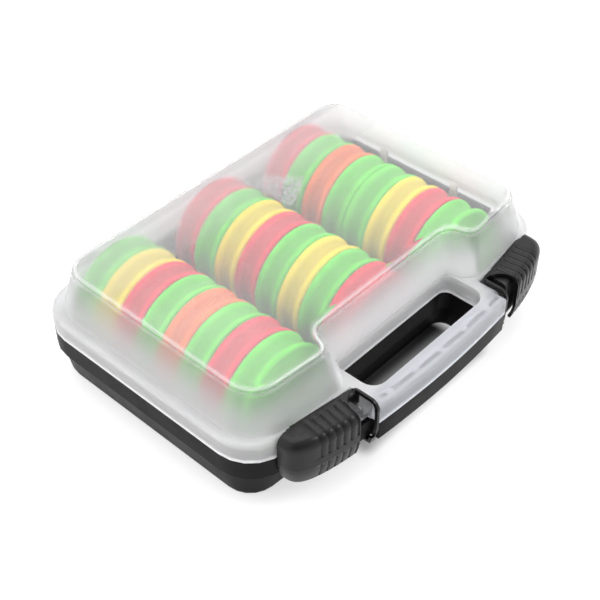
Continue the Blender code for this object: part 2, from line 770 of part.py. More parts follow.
def latch(name):
    """A swing latch: a ribbed C-shaped shell with a barrel along its rear top edge."""
    start, end = barrel_span()
    crease = LATCH_BOTTOM + LATCH_CHIN_HEIGHT
    hull = [(latch_plan(LATCH_CHIN_INSET), LATCH_BOTTOM), (latch_plan(), crease)]
    hull += [(latch_plan(inset), LATCH_TOP - drop) for inset, drop in fillet(LATCH_EDGE_RADIUS)]
    body = piece(name, lofted(hull), "black_pp")

    rear = 4 * OVERRUN
    top = LATCH_TOP - LATCH_WALL
    chin = LATCH_WALL + LATCH_CHIN_INSET * (1 - LATCH_WALL / LATCH_CHIN_HEIGHT)
    cavity = [
        (latch_plan(chin, rear, OVERRUN), LATCH_BOTTOM + LATCH_WALL),
        (latch_plan(LATCH_WALL, rear, OVERRUN), crease),
    ]
    cavity += [
        (latch_plan(LATCH_WALL + inset, rear, OVERRUN), top - drop)
        for inset, drop in fillet(LATCH_EDGE_RADIUS - LATCH_WALL)
    ]
    lip = latch_plan(LATCH_LIP, rear, OVERRUN)
    under = [(lip, LATCH_BOTTOM - OVERRUN), (lip, LATCH_BOTTOM + LATCH_WALL + OVERRUN)]
    combine(body, "DIFFERENCE", [lofted(cavity), lofted(under)])

    # The barrel in two parts, the window over the padlock eye, and the grip grooves
    barrels = [
        axis_rod(-LATCH_INNER_INSET / 2, INNER_KNUCKLE_LENGTH - GAP / 2, BARREL_RADIUS),
        axis_rod(start + GAP / 2, end - GAP / 2, BARREL_RADIUS),
    ]
    combine(body, "UNION", barrels)
    window = window_outline()
    cuts = [lofted([(window, LATCH_BOTTOM - OVERRUN), (window, LATCH_TOP + OVERRUN)])]
    for share in GRIP_SHARES:
        cuts += grip_cuts(share)
    combine(body, "DIFFERENCE", cuts)

    trunnions = [
        axis_rod(INNER_KNUCKLE_LENGTH - EAR_WIDTH, start + EAR_WIDTH, TRUNNION_RADIUS),
        axis_rod(end - EAR_WIDTH, end + EAR_WIDTH, TRUNNION_RADIUS),
    ]
    combine(body, "UNION", trunnions)
    if name == "left_latch":
        flipped = bmesh.new()
        flipped.from_mesh(body.data)
        mirror_shape(flipped).to_mesh(body.data)
        flipped.free()
    return soften(body)


def hinge_pin(name, side):
    """A plain steel pin through the three knuckles of one hinge."""
    return soften(piece(name, hinge_rod(side, HINGE_LENGTH - 2 * GAP, HINGE_PIN_RADIUS), "steel"))


def winder(name, colour, x, y):
    """A foam disc on edge, with a broad shallow groove round its rim."""
    radius = WINDER_DIAMETER / 2
    half = WINDER_THICKNESS / 2
    edge = WINDER_EDGE_RADIUS
    groove = half * WINDER_GROOVE_SHARE
    profile = [
        (0, -half),
        (radius - edge, -half),
        (radius, -half + edge),
        (radius - WINDER_GROOVE_DEPTH, -groove),
        (radius - WINDER_GROOVE_DEPTH, groove),
        (radius, half - edge),
        (radius - edge, half),
        (0, half),
    ]
    shape = bmesh.new()
    verts = [shape.verts.new((r, along, 0)) for r, along in profile]
    edges = [shape.edges.new(pair) for pair in zip(verts, verts[1:])]
    bmesh.ops.spin(
        shape,
        geom=verts + edges,
        cent=(0, 0, 0),
        axis=(0, 1, 0),
        angle=math.radians(360),
        steps=ROUND_SIDES,
        use_merge=True,
    )
    bmesh.ops.remove_doubles(shape, verts=shape.verts, dist=GAP / 10)
    bmesh.ops.recalc_face_normals(shape, faces=shape.faces)
    bmesh.ops.translate(shape, vec=(x, y, WINDER_AXIS_HEIGHT), verts=shape.verts)
    return soften(piece(name, shape, f"foam_{colour}"))


def winders():
    """Three rows of foam winders, standing on edge along the tray."""
    for number, (row, colours) in enumerate(ROW_COLOURS.items()):
        x = (number - 1) * ROW_PITCH
        y = REAR - ROW_REAR_GAP - ROW_STAGGERS[number] - WINDER_PITCH / 2
        for place, colour in enumerate(colours):
            winder(f"winder_{row}_{place + 1}", colour, x, y - place * WINDER_PITCH)


def valley_height(x):
    """The height of the bag's middle layer across the valley between two rows."""
    radius = WINDER_DIAMETER / 2 + BAG_MIDDLE_ABOVE_FOAM

    def shoulder(spread):
        return WINDER_AXIS_HEIGHT + math.sqrt(radius**2 - (ROW_PITCH / 2 - spread) ** 2)

    spread = abs(x - ROW_PITCH / 2)
    if spread > BAG_REST_SPREAD:
        return shoulder(spread)
    away = ROW_PITCH / 2 - BAG_REST_SPREAD
    slope = away / math.sqrt(radius**2 - away**2)
    return shoulder(BAG_REST_SPREAD) - slope * (BAG_REST_SPREAD**2 - spread**2) / (2 * BAG_REST_SPREAD)


def pin_bag():
    """The bag of rig pins, which sags into the valley between two rows near the hinge."""
    shape = bmesh.new()
    middle = Vector((ROW_PITCH / 2 - BAG_FROM_VALLEY, REAR - BAG_FROM_REAR))
    turn = Matrix.Rotation(math.radians(BAG_TURN), 2)
    layers = []
    for side in (-1, 1):
        rows = []
        for v in BAG_GRID_SHARES:
            row = []
            for u in BAG_GRID_SHARES:
                swell = max(BAG_THICKNESS / 2 * math.sqrt((1 - u**2) * (1 - v**2)), GAP)
                at = middle + turn @ Vector((u * BAG_WIDTH / 2, v * BAG_LENGTH / 2))
                row.append(shape.verts.new((at.x, at.y, valley_height(at.x) + side * swell)))
            rows.append(row)
        layers.append(rows)
    last = len(BAG_GRID_SHARES) - 1
    for rows in layers:
        for i in range(last):
            for j in range(last):
                shape.faces.new((rows[i][j], rows[i][j + 1], rows[i + 1][j + 1], rows[i + 1][j]))
    low, high = layers
    edge = [(0, j) for j in range(last)] + [(i, last) for i in range(last)]
    edge += [(last, last - j) for j in range(last)] + [(last - i, 0) for i in range(last)]
    for (i, j), (k, m) in zip(edge, edge[1:] + edge[:1]):
        shape.faces.new((low[i][j], low[k][m], high[k][m], high[i][j]))
    bmesh.ops.recalc_face_normals(shape, faces=shape.faces)
    return soften(piece("pin_bag", shape, "clear_film"))


def assemble():
    """Make every piece, and hang the moving ones on their pivots."""
    for old in list(bpy.data.objects):
        bpy.data.objects.remove(old, do_unlink=True)
    base_tray()
    hinge_pin("hinge_pin_left", -1)
    hinge_pin("hinge_pin_right", 1)
    lid_pivot = pivot("lid_pivot", (0, HINGE_Y, PARTING_HEIGHT))
    hang(lid_cover(), lid_pivot)
    inner, along, _ = latch_axis()
    middle = inner + along * (sum(barrel_span()) / 2)
    for name, side in (("left_latch", -1), ("right_latch", 1)):
        hang(latch(name), pivot(f"{name}_pivot", (side * middle.x, middle.y, middle.z), lid_pivot))
    winders()
    pin_bag()


assemble()
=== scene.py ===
import json
import math

import bmesh
import bpy
from mathutils import Matrix, Vector


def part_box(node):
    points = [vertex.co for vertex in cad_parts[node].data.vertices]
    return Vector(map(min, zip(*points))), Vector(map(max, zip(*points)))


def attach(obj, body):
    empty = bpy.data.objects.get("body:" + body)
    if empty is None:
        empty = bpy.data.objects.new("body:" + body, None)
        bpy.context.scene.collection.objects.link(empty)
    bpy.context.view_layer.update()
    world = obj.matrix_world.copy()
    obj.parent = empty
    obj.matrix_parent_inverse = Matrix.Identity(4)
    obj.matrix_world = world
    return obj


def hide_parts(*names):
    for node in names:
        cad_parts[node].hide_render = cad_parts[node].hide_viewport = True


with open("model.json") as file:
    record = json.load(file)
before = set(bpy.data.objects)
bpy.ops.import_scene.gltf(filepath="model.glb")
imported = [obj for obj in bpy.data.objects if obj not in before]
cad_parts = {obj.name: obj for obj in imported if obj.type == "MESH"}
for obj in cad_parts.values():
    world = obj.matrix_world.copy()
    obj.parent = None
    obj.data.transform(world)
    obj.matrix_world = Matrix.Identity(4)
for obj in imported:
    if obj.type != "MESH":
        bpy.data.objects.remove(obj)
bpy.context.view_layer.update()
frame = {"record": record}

# The camera looks down on the box from its front left corner, over the handle, as the
# photograph was taken: 43 degrees down, with a long lens.
camera_lens = bpy.data.cameras.new("camera")
camera_lens.sensor_width = 36
camera_lens.lens = 71.17
camera_lens.shift_x = 0.0136
camera_lens.shift_y = 0.0130
camera_lens.clip_start = 0.01
camera_lens.clip_end = 50
camera_place = (-0.3954, -0.3533, 0.5100)
camera_turn, camera_dip, camera_roll = 312.998, 43.0095, -0.524
camera = bpy.data.objects.new("camera", camera_lens)
bpy.context.scene.collection.objects.link(camera)
camera.matrix_world = (
    Matrix.Translation(camera_place)
    @ Matrix.Rotation(math.radians(camera_turn), 4, "Z")
    @ Matrix.Rotation(math.radians(90 - camera_dip), 4, "X")
    @ Matrix.Rotation(math.radians(camera_roll), 4, "Z")
)
bpy.context.scene.camera = camera


# The studio: a white back-lit floor that runs out past the picture, a white room, three
# broad soft lamps overhead, behind and at the left, and a small one in front at the right.
class Signal:
    """A shader socket that takes sums, products and other maths as Python writes them."""

    def __init__(self, nodes, socket):
        self.nodes = nodes
        self.socket = socket

    def maths(self, operation, *values):
        return self.nodes.add("Math", {"operation": operation}, *values)

    def __add__(self, other):
        return self.maths("ADD", self, other)

    def __radd__(self, other):
        return self.maths("ADD", other, self)

    def __sub__(self, other):
        return self.maths("SUBTRACT", self, other)

    def __rsub__(self, other):
        return self.maths("SUBTRACT", other, self)

    def __mul__(self, other):
        return self.maths("MULTIPLY", self, other)

    def __rmul__(self, other):
        return self.maths("MULTIPLY", other, self)


class Finish:
    """A material and the nodes that make it."""

    def __init__(self, name):
        self.material = bpy.data.materials.new(name)
        self.material.use_nodes = True
        self.tree = self.material.node_tree
        self.tree.nodes.clear()

    def add(self, kind, settings=None, *values, out=0, **named):
        node = self.tree.nodes.new(f"ShaderNode{kind}")
        for key, value in (settings or {}).items():
            setattr(node, key, value)
        sockets = list(zip(node.inputs, values))
        sockets += [(node.inputs[key.replace("_", " ")], value) for key, value in named.items()]
        for socket, value in sockets:
            if isinstance(value, Signal):
                self.tree.links.new(value.socket, socket)
            elif value is not None:
                socket.default_value = value
        return Signal(self, node.outputs[out])

    def place(self):
        """Where a point is on the object, in metres, as x, y and z."""
        spot = self.tree.nodes.new("ShaderNodeTexCoord").outputs["Object"]
        split = self.tree.nodes.new("ShaderNodeSeparateXYZ")
        self.tree.links.new(spot, split.inputs[0])
        return Signal(self, spot), *(Signal(self, socket) for socket in split.outputs)

    def ramp(self, value, low, high, start=0.0, end=1.0):
        """Runs smoothly from start to end as the value goes from low to high."""
        settings = {"interpolation_type": "SMOOTHSTEP"}
        return self.add("MapRange", settings, value, low, high, start, end)

    def grain(self, spot, scale, detail=2.0, roughness=0.5, stretch=None):
        """Noise around 0.5, so many times per metre."""
        if stretch:
            spot = self.add("Mapping", None, spot, None, None, stretch)
        return self.add("TexNoise", Vector=spot, Scale=scale, Detail=detail, Roughness=roughness)

    def blend(self, share, one, other):
        """A colour between two others."""
        node = self.tree.nodes.new("ShaderNodeMix")
        node.data_type = "RGBA"
        for number, value in ((0, share), (6, one), (7, other)):
            socket = node.inputs[number]
            if isinstance(value, Signal):
                self.tree.links.new(value.socket, socket)
            else:
                socket.default_value = value
        return Signal(self, node.outputs[2])

    def bump(self, height, depth):
        """A normal from a height between 0 and 1, so many metres deep."""
        return self.add("Bump", None, Strength=1.0, Distance=depth, Height=height)

    def finish(self, shader):
        end = self.tree.nodes.new("ShaderNodeOutputMaterial")
        self.tree.links.new(shader.socket, end.inputs["Surface"])
        return self.material


# Seen through the finger opening, the floor's glow is turned off and a shadow is painted into its
# colour, darkest at the rear
paper = Finish("studio_paper")
_, paper_x, paper_y, _ = paper.place()
paper_painted_shade = paper.ramp(paper_y, -0.098, -0.088) * paper.ramp(paper_y, -0.040, -0.050)
paper_painted_shade = paper_painted_shade * paper.ramp(paper_x.maths("ABSOLUTE", paper_x), 0.062, 0.050)
paper_painted_shadow = paper_painted_shade * paper.ramp(paper_y, -0.069, -0.057)
paper_finish = paper.finish(
    paper.add(
        "BsdfPrincipled",
        None,
        Base_Color=paper.blend(paper_painted_shadow, (0.45, 0.45, 0.45, 1), (0.03, 0.03, 0.03, 1)),
        Roughness=0.9,
        Emission_Color=paper.blend(paper_painted_shade, (1, 1, 1, 1), (0, 0, 0, 1)),
        Emission_Strength=0.58,
    )
)
floor_mesh = bmesh.new()
bmesh.ops.create_grid(floor_mesh, x_segments=2, y_segments=2, size=3)
floor_data = bpy.data.meshes.new("floor")
floor_mesh.to_mesh(floor_data)
floor_mesh.free()
floor_data.materials.append(paper_finish)
floor = bpy.data.objects.new("floor", floor_data)
bpy.context.scene.collection.objects.link(floor)
floor.location.z = -0.0002

room = bpy.data.worlds.new("white_room")
room.use_nodes = True
walls = room.node_tree.nodes
glow = walls["Background"]
facing = walls.new("ShaderNodeVectorMath")
facing.operation = "DOT_PRODUCT"
facing.inputs[1].default_value = (-0.70, -0.64, 0.30)
room.node_tree.links.new(walls.new("ShaderNodeTexCoord").outputs["Generated"], facing.inputs[0])
fade = walls.new("ShaderNodeMapRange")
fade.inputs["From Min"].default_value = 0.35
fade.inputs["From Max"].default_value = 1.0
fade.inputs["To Min"].default_value = 1.44
fade.inputs["To Max"].default_value = 0.50
room.node_tree.links.new(facing.outputs["Value"], fade.inputs["Value"])
room.node_tree.links.new(fade.outputs["Result"], glow.inputs["Strength"])
glow.inputs["Color"].default_value = (1.0, 1.0, 1.0, 1)
bpy.context.scene.world = room
bpy.context.scene.view_settings.view_transform = "Standard"


def lamp(name, place, aim, size, watts):
    data = bpy.data.lights.new(name, "AREA")
    data.shape = "RECTANGLE"
    data.size, data.size_y = size
    data.energy = watts
    made = bpy.data.objects.new(name, data)
    bpy.context.scene.collection.objects.link(made)
    made.location = place
    made.rotation_euler = (Vector(aim) - Vector(place)).to_track_quat("-Z", "Y").to_euler()


lamp("overhead_softbox", (0.0, 0.35, 1.3), (0, 0, 0), (1.5, 1.2), 10)
lamp("rear_softbox", (0.9, 1.0, 0.9), (0, 0, 0.03), (1.2, 0.8), 2)
lamp("left_softbox", (-1.3, 0.2, 0.8), (0, 0, 0.03), (1.3, 1.3), 4)
lamp("front_softbox", (0.42, -0.66, 0.86), (0, -0.05, 0.04), (0.34, 0.34), 3)


# Foam winders: discs of closed-cell foam, cut from sheet and turned, with one broad shallow
# groove round the rim for the line. They stand loose on edge in the tray, in three rows.
winder_radius = 0.0325
winder_half = 0.0084
# Radius, share of the half thickness, and how far down into the groove, which sets the painted
# shade there
winder_profile = [
    (0.0000, 1.00, 0.0),
    (0.0040, 1.00, 0.0),
    (0.0300, 1.00, 0.0),
    (0.0314, 0.985, 0.0),
    (0.0321, 0.94, 0.0),
    (0.03248, 0.87, 0.0),
    (0.0325, 0.78, 0.0),
    (0.0322, 0.66, 0.1),
    (0.0314, 0.50, 0.55),
    (0.0306, 0.34, 0.9),
    (0.0302, 0.18, 1.0),
    (0.0301, 0.00, 1.0),
]
foam_colours = {
    "foam_green": ((0.130, 0.740, 0.050, 1), (0.110, 0.660, 0.040, 1)),
    "foam_yellow": ((0.960, 0.780, 0.010, 1), (0.930, 0.720, 0.010, 1)),
    "foam_pink": ((0.880, 0.030, 0.070, 1), (0.800, 0.020, 0.055, 1)),
    "foam_orange": ((0.960, 0.190, 0.030, 1), (0.920, 0.160, 0.025, 1)),
}


def foam(name, light, dark):
    made = Finish(name)
    spot, *_ = made.place()
    cells = made.grain(spot, 2600, 3, 0.6)
    cloud = made.grain(spot, 90, 2)
    groove = made.add("Attribute", {"attribute_name": "groove"}, out=2)
    # Painted shade darkens each winder's groove, most at its bottom
    painted_groove_shade = (*(0.55 * part + 0.02 for part in dark[:3]), 1)
    shade = made.blend(made.ramp(cloud, 0.35, 0.65), dark, light)
    shade = made.blend(groove * 0.7, shade, painted_groove_shade)
    return made.finish(
        made.add(
            "BsdfPrincipled",
            None,
            Base_Color=shade,
            Roughness=0.86,
            Specular_IOR_Level=0.25,
            Normal=made.bump(cells * 0.7 + cloud * 0.3, 0.00002),
        )
    )


foams = {name: foam(name, *colours) for name, colours in foam_colours.items()}
slot_of = {part["node"]: part["material_slot"] for part in frame["record"]["subparts"]}


def finished(name, mesh, material, smooth_angle=40, body="base"):
    """Makes a piece of a mesh, finishes it, and fixes it to a body of the box."""
    data = bpy.data.meshes.new(name)
    mesh.to_mesh(data)
    mesh.free()
    data.materials.append(material)
    data.shade_smooth()
    data.set_sharp_from_angle(angle=math.radians(smooth_angle))
    made = bpy.data.objects.new(name, data)
    bpy.context.scene.collection.objects.link(made)
    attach(made, body)
    return made


def turned_disc():
    """A winder's mesh, turned about the Y axis at the origin."""
    mesh = bmesh.new()
    depth = mesh.verts.layers.float.new("groove")
    side = [(r, -winder_half * share, deep) for r, share, deep in winder_profile]
    side += [(r, winder_half * share, deep) for r, share, deep in reversed(winder_profile[:-1])]
    points = []
    for r, y, deep in side:
        points.append(mesh.verts.new((r, y, 0)))
        points[-1][depth] = deep
    edges = [mesh.edges.new(pair) for pair in zip(points, points[1:])]
    bmesh.ops.spin(
        mesh,
        geom=points + edges,
        cent=(0, 0, 0),
        axis=(0, 1, 0),
        angle=math.tau,
        steps=80,
        use_merge=True,
    )
    bmesh.ops.remove_doubles(mesh, verts=mesh.verts, dist=0.00001)
    bmesh.ops.recalc_face_normals(mesh, faces=mesh.faces)
    return mesh


for node in (name for name in slot_of if name.startswith("winder_")):
    low, high = (Vector(corner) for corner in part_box(node))
    middle = (low + high) / 2
    disc = turned_disc()
    bmesh.ops.translate(disc, vec=(middle.x, middle.y, low.z + winder_radius), verts=disc.verts)
    piece = finished(f"{node}_foam", disc, foams[slot_of[node]], 50)
    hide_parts(node)


# The tray: black polypropylene with a fine satin grain, injection moulded in one piece with
# its half of the handle and its hinge knuckles.
def black_plastic(name, sheen, shine):
    made = Finish(name)
    spot, *_ = made.place()
    fine = made.grain(spot, 2200, 2)
    rub = made.grain(spot, 60, 3)
    return made.finish(
        made.add(
            "BsdfPrincipled",
            None,
            Base_Color=made.blend(rub, (0.0042, 0.0036, 0.0038, 1), (0.0062, 0.0055, 0.0057, 1)),
            Roughness=made.ramp(rub, 0.3, 0.7, sheen - 0.03, sheen + 0.04),
            Specular_IOR_Level=shine,
            Normal=made.bump(fine, 0.00003),
        )
    )


def smooth_copy(node, name, material, body, angle=35):
    """The node's own shape, with its facets merged and its rounded edges shaded smooth."""
    mesh = bmesh.new()
    mesh.from_mesh(bpy.data.objects[node].data)
    bmesh.ops.remove_doubles(mesh, verts=mesh.verts, dist=0.00001)
    bmesh.ops.dissolve_limit(
        mesh,
        angle_limit=math.radians(1),
        use_dissolve_boundaries=False,
        verts=mesh.verts,
        edges=mesh.edges,
        delimit=set(),
    )
    made = finished(name, mesh, material, angle, body)
    weights = made.modifiers.new("flat_faces_first", "WEIGHTED_NORMAL")
    weights.keep_sharp = True
    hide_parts(node)
    return made


tray_black = black_plastic("tray_black", 0.42, 0.095)
smooth_copy("base_tray", "tray", tray_black, "base")


# The lid: frosted polypropylene about 2 mm thick. Its top panel is polished inside and
# lets the foam show clearly; a band at the rear, the walls and the ledge are grained and
# blur what lies behind them.
def frosted_plastic():
    made = Finish("lid_frosted")
    spot, x, y, z = made.place()
    across = x.maths("ABSOLUTE", x)
    top = made.ramp(z, 0.0705, 0.0728)
    rear = made.ramp(y, 0.0420, 0.0430) * 0.45 + made.ramp(y, 0.0450, 0.0680) * 0.55
    low = made.ramp(z, 0.0720, 0.0500)
    ledge = made.ramp(z, 0.0500, 0.0470)
    grain = made.grain(spot, 1600, 2)
    haze = made.grain(spot, 35, 2)
    # Highlights are painted along the rounded top edge, along the lips at the parting line and
    # along the ledge
    painted_rim_highlight = made.ramp(z, 0.0731, 0.0736) * made.ramp(z, 0.0749, 0.0742)
    painted_rim_highlight = painted_rim_highlight + made.ramp(z, 0.0706, 0.0718) * made.ramp(z, 0.0729, 0.0724) * 0.5
    lip = made.ramp(z, 0.0366, 0.0361)
    crease = made.ramp(z, 0.0475, 0.0478) * made.ramp(z, 0.0488, 0.0482)
    line = made.ramp(z, 0.0364, 0.0369) * made.ramp(z, 0.0375, 0.0370)
    # Behind the latches the wall is less milky, and shade from the latch is painted into the clear
    # plastic's colour
    side = made.ramp(across, 0.0570, 0.0576)
    seat = side * made.ramp(y, -0.0790, -0.0830)
    # The clear plastic's colour carries the painted shade behind the latches, and it is greyer
    # towards the rear edge
    clear = made.add(
        "BsdfPrincipled",
        None,
        Base_Color=made.blend(
            x.maths("MAXIMUM", seat * 0.8, made.ramp(y, 0.0730, 0.0775) * 0.22),
            made.blend(top * (1 - rear), (0.92, 0.92, 0.925, 1), (0.985, 0.99, 0.99, 1)),
            (0.12, 0.12, 0.13, 1),
        ),
        Transmission_Weight=1.0,
        IOR=1.33,
        Roughness=0.30 - top * (0.21 - rear * 0.14),
        Normal=made.bump(grain * (1 - top), 0.00001),
    )
    handle = made.ramp(y, -0.0890, -0.0930)
    milk = made.add(
        "BsdfPrincipled",
        None,
        Base_Color=made.blend(handle, (0.86, 0.86, 0.87, 1), (0.68, 0.70, 0.75, 1)),
        Roughness=0.42,
        Specular_IOR_Level=0.5,
    )
    # Ahead of the slanted line of their rear edges, the ears and seats of the latches are painted
    # black as shade
    behind = y - across * 0.1362 + 0.0896
    latch_painted_shade = side * made.ramp(z, 0.0479, 0.0484) * made.ramp(behind, 0.0008, 0.0002)
    seat_painted_shade = seat * x.maths("MAXIMUM", made.ramp(y, -0.0876, -0.0864), made.ramp(x, 0.0, 0.01))
    latch_painted_shade = x.maths("MAXIMUM", latch_painted_shade, seat_painted_shade)
    # The front wall over the finger opening is milkier
    middle = made.ramp(across, 0.0640, 0.0600) * made.ramp(y, -0.0460, -0.0500) * (1 - ledge)
    # The sides of the finger opening are doubled and paler, with a highlight painted along their
    # top edge
    inlet = made.ramp(across, 0.0520, 0.0512) * made.ramp(z, 0.0473, 0.0468)
    inlet = inlet * made.ramp(y, -0.0925, -0.0915) * made.ramp(y, -0.0580, -0.0610)
    inlet = inlet * (1 + made.ramp(z, 0.0460, 0.0466) * 1.5)
    # Painted shade marks small hollows between the stiffeners under the top of the handle
    arc = y + 0.0990 - across * across * 0.8
    painted_hollow_shade = made.ramp(arc.maths("ABSOLUTE", arc), 0.0024, 0.0002) * made.ramp(z, 0.0450, 0.0465)
    nook = x.maths("PINGPONG", (x + 0.0018) * 45.9, 0.5)
    painted_hollow_shade = painted_hollow_shade * made.ramp(nook, 0.05, 0.14) * made.ramp(across, 0.0540, 0.0520)
    bar = made.ramp(y, -0.0900, -0.0920) * ledge
    # How milky the plastic is: painted highlights add milk, and the painted shade in the handle's
    # hollows and behind the latches takes it away
    wall = 0.14 + low * 0.20 + ledge * 0.04 + middle * (low * 0.20 + 0.12)
    wall = wall - painted_hollow_shade * 0.24 - bar * 0.02 + crease * 0.25 + inlet * 0.22
    wall = wall - made.ramp(z, 0.0450, 0.0430) * 0.10
    veil = wall - top * (wall - 0.08 - rear * 0.06) + (haze - 0.5) * 0.02 + painted_rim_highlight * 0.22 + lip * 0.4
    veil = veil * (1 - seat * 0.9) * (1 - line * 0.6)
    # Flat black, for the painted shade in the latches' ears and seats
    dark = made.add("BsdfPrincipled", None, Base_Color=(0.01, 0.01, 0.01, 1), Roughness=0.4)
    frosted = made.add("MixShader", None, veil, clear, milk)
    return made.finish(made.add("MixShader", None, latch_painted_shade, frosted, dark))


smooth_copy("lid_cover", "lid", frosted_plastic(), "lid")


# The two latches: black polypropylene shells that swing on the lid's ears. Six grip grooves
# run over the top edge and down the front, and the inner end is a thin hoop round a window
# over the padlock eye. Each latch is moulded in one piece with the two barrels it turns on.
latch_black = black_plastic("latch_black", 0.28, 0.24)
latch_axis = Vector((0.058324, -0.084078))
latch_axis_height = 0.0479
latch_way = Vector((0.990856, 0.134925))
latch_ahead = Vector((latch_way.y, -latch_way.x))
latch_length = 0.04743
latch_top = 0.0505
latch_edge = 0.006
latch_wall = 0.0022
hinge_wall = 0.0004
hinge_radius = 0.0026
barrel_radius = 0.0024
barrels = ((0.0062, 0.00935), (0.01275, 0.0429))
inner_ear = (0.0091, 0.0129)
outer_ear = 0.0432
hoop_end = 0.0575
hoop_corner = 0.0048
front_half = 0.112
front_shoulder = -0.0775
front_bow = 0.026
lip_height = 0.0207
lip_start = 0.0045
grip_runs = [latch_length * share for share in (0.249, 0.355, 0.458, 0.557, 0.664, 0.766)]
grip_half = 0.00055
grip_depth = 0.0005
rib_crown = 0.0003


def latch_rows(thick):
    """The latch's section from hinge to foot, so far inside its outer face: how far round the
    axis it is, the share of the way ahead, inset, height, lean, and how deep the grooves are."""
    rows = [(math.radians(turn), 0, latch_edge, 0, 0, 0) for turn in (88, 74, 60, 46, 32, 18, 8)]
    # Over the top
    for share, cut in (
        (0, 0),
        (0.03, 0),
        (0.06, 0.5),
        (0.09, 1),
        (0.25, 1),
        (0.4, 1),
        (0.55, 1),
        (0.7, 1),
        (0.85, 1),
    ):
        under = min(thick, hinge_wall) if share < 0.08 else thick
        rows.append((0, share, latch_edge, latch_top - under, 0, cut))
    # Round the front edge
    radius = latch_edge - thick
    for turn in range(0, 91, 10):
        lean = math.radians(turn)
        inset = latch_edge - radius * math.sin(lean)
        rows.append((0, 1, inset, latch_top - latch_edge + radius * math.cos(lean), lean, 1))
    # Down the front, and in under the tray's rim
    for height, inset, cut in (
        (0.0420, 0, 1),
        (0.0390, 0, 1),
        (0.0365, 0, 1),
        (0.0356, 0, 1),
        (0.0352, 0, 0),
        (0.0345, 0, 0),
        (0.0325, 0, 0),
        (0.0310, 0, 0),
        (0.0305, 0, 0),
        (0.0301, 0.00004, 1),
        (0.0287, 0.00018, 1),
        (0.0280, 0.00027, 1),
        (0.0273, 0.00036, 1),
        (0.0250, 0.0008, 1),
        (0.0236, 0.00115, 1),
        (0.0215, 0.0017, 1),
        (0.0199, 0.0022, 1),
        (0.0190, 0.0025, 0.2),
        (0.0190, 0.0045, 0),
        (0.0190, 0.0065, 0),
        (0.0190, 0.0085, 0),
    ):
        lip = lip_height - 0.15 * max(inset - lip_start, 0)
        within = min(inset + thick * 0.9, max(lip_start, inset))
        rows.append((0, 1, within, max(height, lip) if thick else height, math.pi / 2, cut))
    return rows


def bow(x, inset):
    """A point on the bowed front of the latch, with that face moved in."""
    share = min(x / (front_half - inset), 1)
    return Vector((x, front_shoulder - (front_bow - inset) * (1 - share**1.7) ** (1 / 3.7)))


def square_to_axis(run, inset):
    """Where a line square to the axis, so far along it, meets the bowed front."""
    foot = latch_axis + latch_way * run
    near, far = 0.0, 0.035
    for _ in range(24):
        at = foot + latch_ahead * (near + far) / 2
        if at.y > bow(at.x, inset).y:
            near = (near + far) / 2
        else:
            far = (near + far) / 2
    return foot + latch_ahead * near


def latch_column(rows, run, front, arched=0.0):
    """One column of the latch in plan, from its axis to a point on its front."""
    foot = latch_axis + latch_way * run
    points = []
    for _, share, inset, *_ in rows:
        ahead = front(inset)
        across = share + (math.sqrt(1 - (1 - share) ** 2) - share) * arched
        x, y = foot.x + (ahead.x - foot.x) * across, foot.y + (ahead.y - foot.y) * share
        points.append(Vector((x, y)))
    return points


def rounded_corner(at):
    """Moves a point in plan so that the hoop's corner beside the hinge is round."""
    across = 1 - (at.x - hoop_end) / hoop_corner
    along = 1 - ((at - latch_axis).dot(latch_ahead) + hinge_radius) / hoop_corner
    if min(across, along) <= 0:
        return at
    across, along = min(across, 1), min(along, 1)
    outward = across - across * math.sqrt(1 - along * along / 2)
    ahead = along - along * math.sqrt(1 - across * across / 2)
    return at + Vector((outward * hoop_corner, 0)) + latch_ahead * hoop_corner * ahead


def between(one, other, steps):
    """The columns that lie evenly between two columns."""
    shares = [(step + 1) / (steps + 1) for step in range(steps)]
    return [[a.lerp(b, share) for a, b in zip(one, other)] for share in shares]


def latch_columns(rows):
    """All columns of the latch, how deep the groove is at each, and which are over the window."""
    end = latch_column(rows, -0.0008, lambda inset: bow(hoop_end, inset))
    band = latch_column(rows, 0.0008, lambda inset: bow(0.0591, inset))
    sill = latch_column(rows, 0.0018, lambda inset: bow(0.0711, inset), 0.95)
    columns = [end] + between(end, band, 3) + [band]
    window_steps = 10
    window = range(len(columns) - 1, len(columns) + window_steps)
    columns += between(band, sill, window_steps) + [sill]
    deep = [0] * len(columns)
    # The grip: a rib with a low crown, then a groove, six times
    rib_steps = 6
    offsets = (-1, -0.7, -0.42, -0.18, 0.18, 0.42, 0.7, 1)
    for number, run in enumerate(grip_runs):
        groove = []
        for offset in offsets:
            at = run + offset * grip_half
            groove.append(latch_column(rows, at, lambda inset, at=at: square_to_axis(at, inset)))
        columns += between(columns[-1], groove[0], rib_steps) + groove
        shares = [(step + 1) / (rib_steps + 1) for step in range(rib_steps)]
        crown = [rib_crown * abs(2 * share - 1) ** 2.5 for share in shares]
        deep += [0.0] * rib_steps if number == 0 else crown
        dips = [math.cos(offset * math.pi / 2) ** 0.8 for offset in offsets]
        deep += [rib_crown + grip_depth * dip for dip in dips]
    # The plain rounded end fans out from the last groove
    fan_steps = 22
    fan_start = grip_runs[-1] + grip_half
    for step in range(fan_steps):
        share = (step + 1) / fan_steps
        fan = 1 - (1 - share) ** 2

        def front(inset, fan=fan):
            first = square_to_axis(fan_start, inset).x
            return bow(first + (front_half - inset - first) * fan, inset)

        at = fan_start + (latch_length - grip_runs[-1] - grip_half) * share
        columns.append(latch_column(rows, at, front))
        deep.append(rib_crown * max(1 - share * 6, 0) ** 2)
    return columns, deep, window


